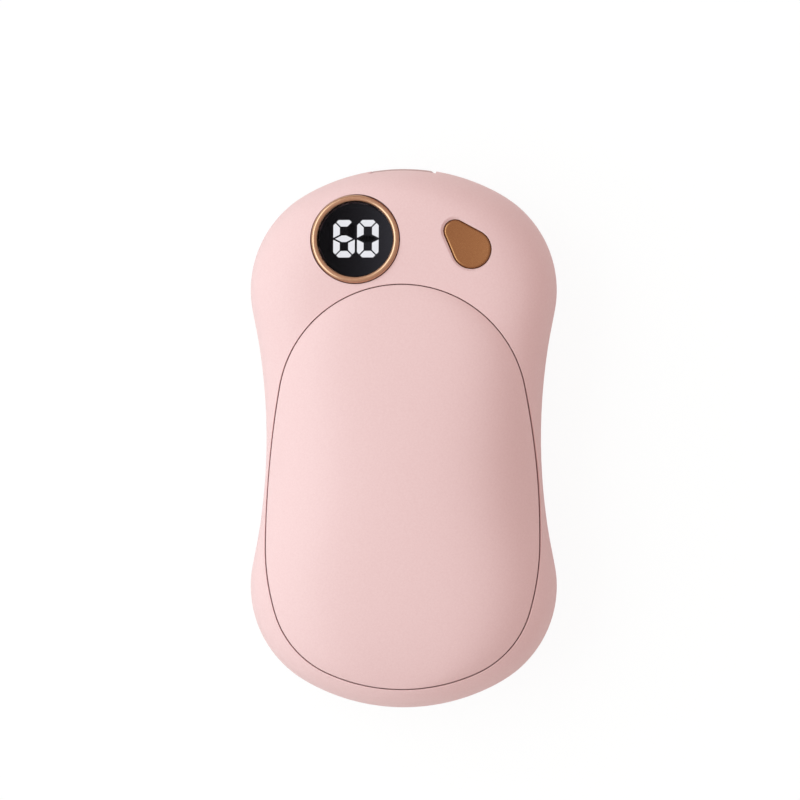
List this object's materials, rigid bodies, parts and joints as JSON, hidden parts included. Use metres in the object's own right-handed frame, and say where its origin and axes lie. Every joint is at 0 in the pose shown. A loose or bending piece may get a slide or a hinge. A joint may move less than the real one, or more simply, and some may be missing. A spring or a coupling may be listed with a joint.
{
  "type": "rechargeable hand warmer",
  "caption": "Palm-sized rechargeable hand warmer: a waisted soft-touch pebble with a domed panel, a round digit display, a teardrop power button and a hinged door over its charging socket.",
  "frame": {"origin": "bottom centre: the middle of the flat back, on the surface that the warmer lies on", "axes": "+Z out of the display side, +Y towards the display end, +X to the right of the display"},
  "size_m": [0.058, 0.1019, 0.0275],
  "materials": {
    "soft_touch_shell": "soft-touch matt paint, pink",
    "soft_touch_panel": "soft-touch matt paint, pink",
    "door_plastic": "matt, dusky pink",
    "rose_gold_plate": "metal-plated plastic, rose gold, satin",
    "smoked_lens": "smoked, polished",
    "display_black": "matt black",
    "lit_white": "lit white",
    "dark_segment": "unlit",
    "tinned_pin": "tinned",
    "steel_screw": "zinc-plated",
    "steel_pin": "ground",
    "socket_steel": "nickel-plated",
    "socket_plastic": "moulded black",
    "contact_gold": "gold-plated",
    "switch_stem": "moulded white",
    "switch_black": "moulded black",
    "dome_steel": "spring steel",
    "board_green": "solder mask",
    "chip_black": "moulded",
    "choke_grey": "moulded ferrite",
    "capacitor_tan": "ceramic",
    "cell_foil": "laminate foil",
    "foam_tape": "foam",
    "foam_pad": "foam",
    "nickel_tab": "nickel strip",
    "lead_red": "silicone insulation",
    "lead_black": "silicone insulation",
    "lead_white": "silicone insulation",
    "lead_grey": "thin insulation",
    "heat_plate": "rolled sheet",
    "heater_film": "amber film",
    "sensor_bead": "epoxy bead"
  },
  "bodies": {
    "casing": {"rear_shell": "soft_touch_shell", "front_shell": "soft_touch_shell", "front_panel": "soft_touch_panel", "case_screws": "steel_screw", "cover_hinge_pin": "steel_pin", "usb_socket_shell": "socket_steel", "usb_tongue": "socket_plastic", "usb_contacts": "contact_gold", "display_bezel": "rose_gold_plate", "display_lens": "smoked_lens", "display_module": "display_black", "lit_segments": "lit_white", "dark_segments": "dark_segment", "display_pins": "tinned_pin", "switch_dome": "dome_steel", "switch_body": "switch_black", "switch_plate": "socket_steel", "main_board": "board_green", "board_screws": "steel_screw", "board_chips": "chip_black", "board_inductor": "choke_grey", "board_capacitors": "capacitor_tan", "battery_cell_front": "cell_foil", "battery_cell_rear": "cell_foil", "cell_tape": "foam_tape", "protection_board": "board_green", "battery_tabs": "nickel_tab", "battery_lead_red": "lead_red", "battery_lead_black": "lead_black", "front_heat_plate": "heat_plate", "front_heater_film": "heater_film", "front_pad": "foam_pad", "rear_heat_plate": "heat_plate", "rear_heater_film": "heater_film", "rear_pad": "foam_pad", "front_heater_leads": "lead_white", "rear_heater_leads": "lead_white", "thermistor": "sensor_bead", "thermistor_leads": "lead_grey"},
    "button": {"power_button": "rose_gold_plate", "switch_stem": "switch_stem"},
    "cover": {"port_cover": "door_plastic"}
  },
  "joints": [
    {"name": "button_press", "type": "slide", "parent": "casing", "child": "button", "axis": [0, 0, -1], "range_m": [0, 0.0005], "stiffness_N_per_m": 2000, "springref_m": -0.0003, "deforming": ["switch_dome"]},
    {"name": "cover_hinge", "type": "hinge", "parent": "casing", "child": "cover", "pos_m": [0.0046, 0.0494, 0.011], "axis": [0, 0, -1], "range_deg": [0, 90]}
  ]
}
